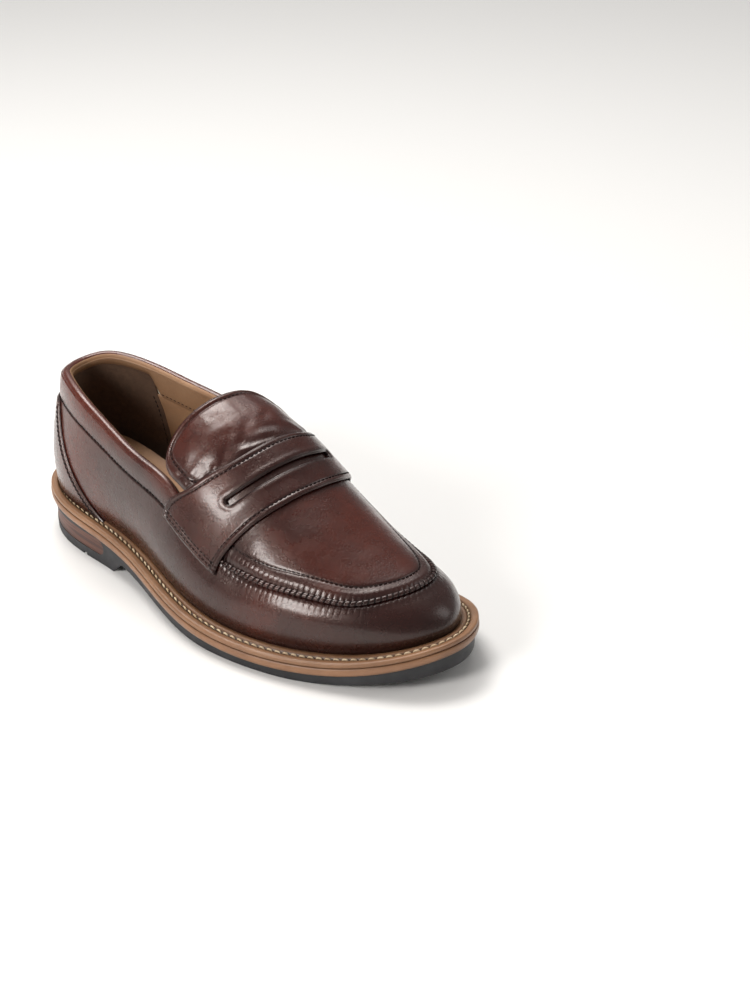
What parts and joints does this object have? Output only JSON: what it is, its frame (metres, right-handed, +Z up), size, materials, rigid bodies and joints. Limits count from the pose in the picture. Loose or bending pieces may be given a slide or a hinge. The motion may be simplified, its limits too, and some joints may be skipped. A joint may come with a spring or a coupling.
{
  "type": "penny loafer",
  "caption": "Right-foot moc-toe slip-on shoe with a slotted saddle strap, padded collar, stitched welt and a low block heel.",
  "frame": {"origin": "on the ground under the middle of the sole's outline", "axes": "+Z up; toe towards -Y; outer (lateral) side towards -X, inner side towards +X"},
  "size_m": [0.1174, 0.293, 0.1086],
  "materials": {
    "burgundy_leather": "glossy burnished oxblood calf, darker at toe and edges",
    "outsole_rubber": "matte charcoal rubber",
    "heel_wood_look": "reddish-brown wood-look heel band",
    "midsole_tan": "tan midsole, satin",
    "welt_tan": "tan welt strip, satin",
    "cork_filler": "cork bottom filler, hidden",
    "shank_steel": "plain steel spring strip, hidden",
    "fibre_board": "fibre lasting board, hidden",
    "footbed_foam": "open foam footbed, hidden",
    "tan_lining": "tan lining leather, matte",
    "brown_suede": "brown suede heel grip",
    "collar_foam": "soft collar foam, hidden",
    "stiffener": "moulded stiffener board, hidden",
    "textile_lining": "textile lining",
    "cream_thread": "waxed cream thread",
    "dark_thread": "dark brown thread"
  },
  "bodies": {
    "shoe": {"outsole": "outsole_rubber", "heel_inlay": "heel_wood_look", "midsole": "midsole_tan", "welt": "welt_tan", "welt_stitching": "cream_thread", "bottom_filler": "cork_filler", "shank": "shank_steel", "insole_board": "fibre_board", "insole_foam": "footbed_foam", "sock_liner": "tan_lining", "vamp": "burgundy_leather", "medial_quarter": "burgundy_leather", "heel_counter": "burgundy_leather", "apron": "burgundy_leather", "saddle_strap": "burgundy_leather", "heel_stiffener": "stiffener", "toe_puff": "stiffener", "collar_foam": "collar_foam", "heel_grip": "brown_suede", "quarter_lining_outer": "tan_lining", "quarter_lining_inner": "tan_lining", "collar_lining": "tan_lining", "vamp_lining": "textile_lining", "apron_lining": "textile_lining", "apron_stitching": "dark_thread", "apron_inner_stitching": "dark_thread", "saddle_stitching": "dark_thread", "topline_stitching": "dark_thread", "counter_stitching": "dark_thread", "medial_seam_stitching": "dark_thread"},
    "tongue_flap": {"tongue": "burgundy_leather", "tongue_lining": "tan_lining", "tongue_stitching": "dark_thread"}
  },
  "joints": [
    {"name": "tongue_fold", "type": "hinge", "parent": "shoe", "child": "tongue_flap", "pos_m": [0.0102, -0.0175, 0.0958], "axis": [1, 0, 0], "range_deg": [0, 30], "stiffness_Nm_per_rad": 0.3}
  ]
}
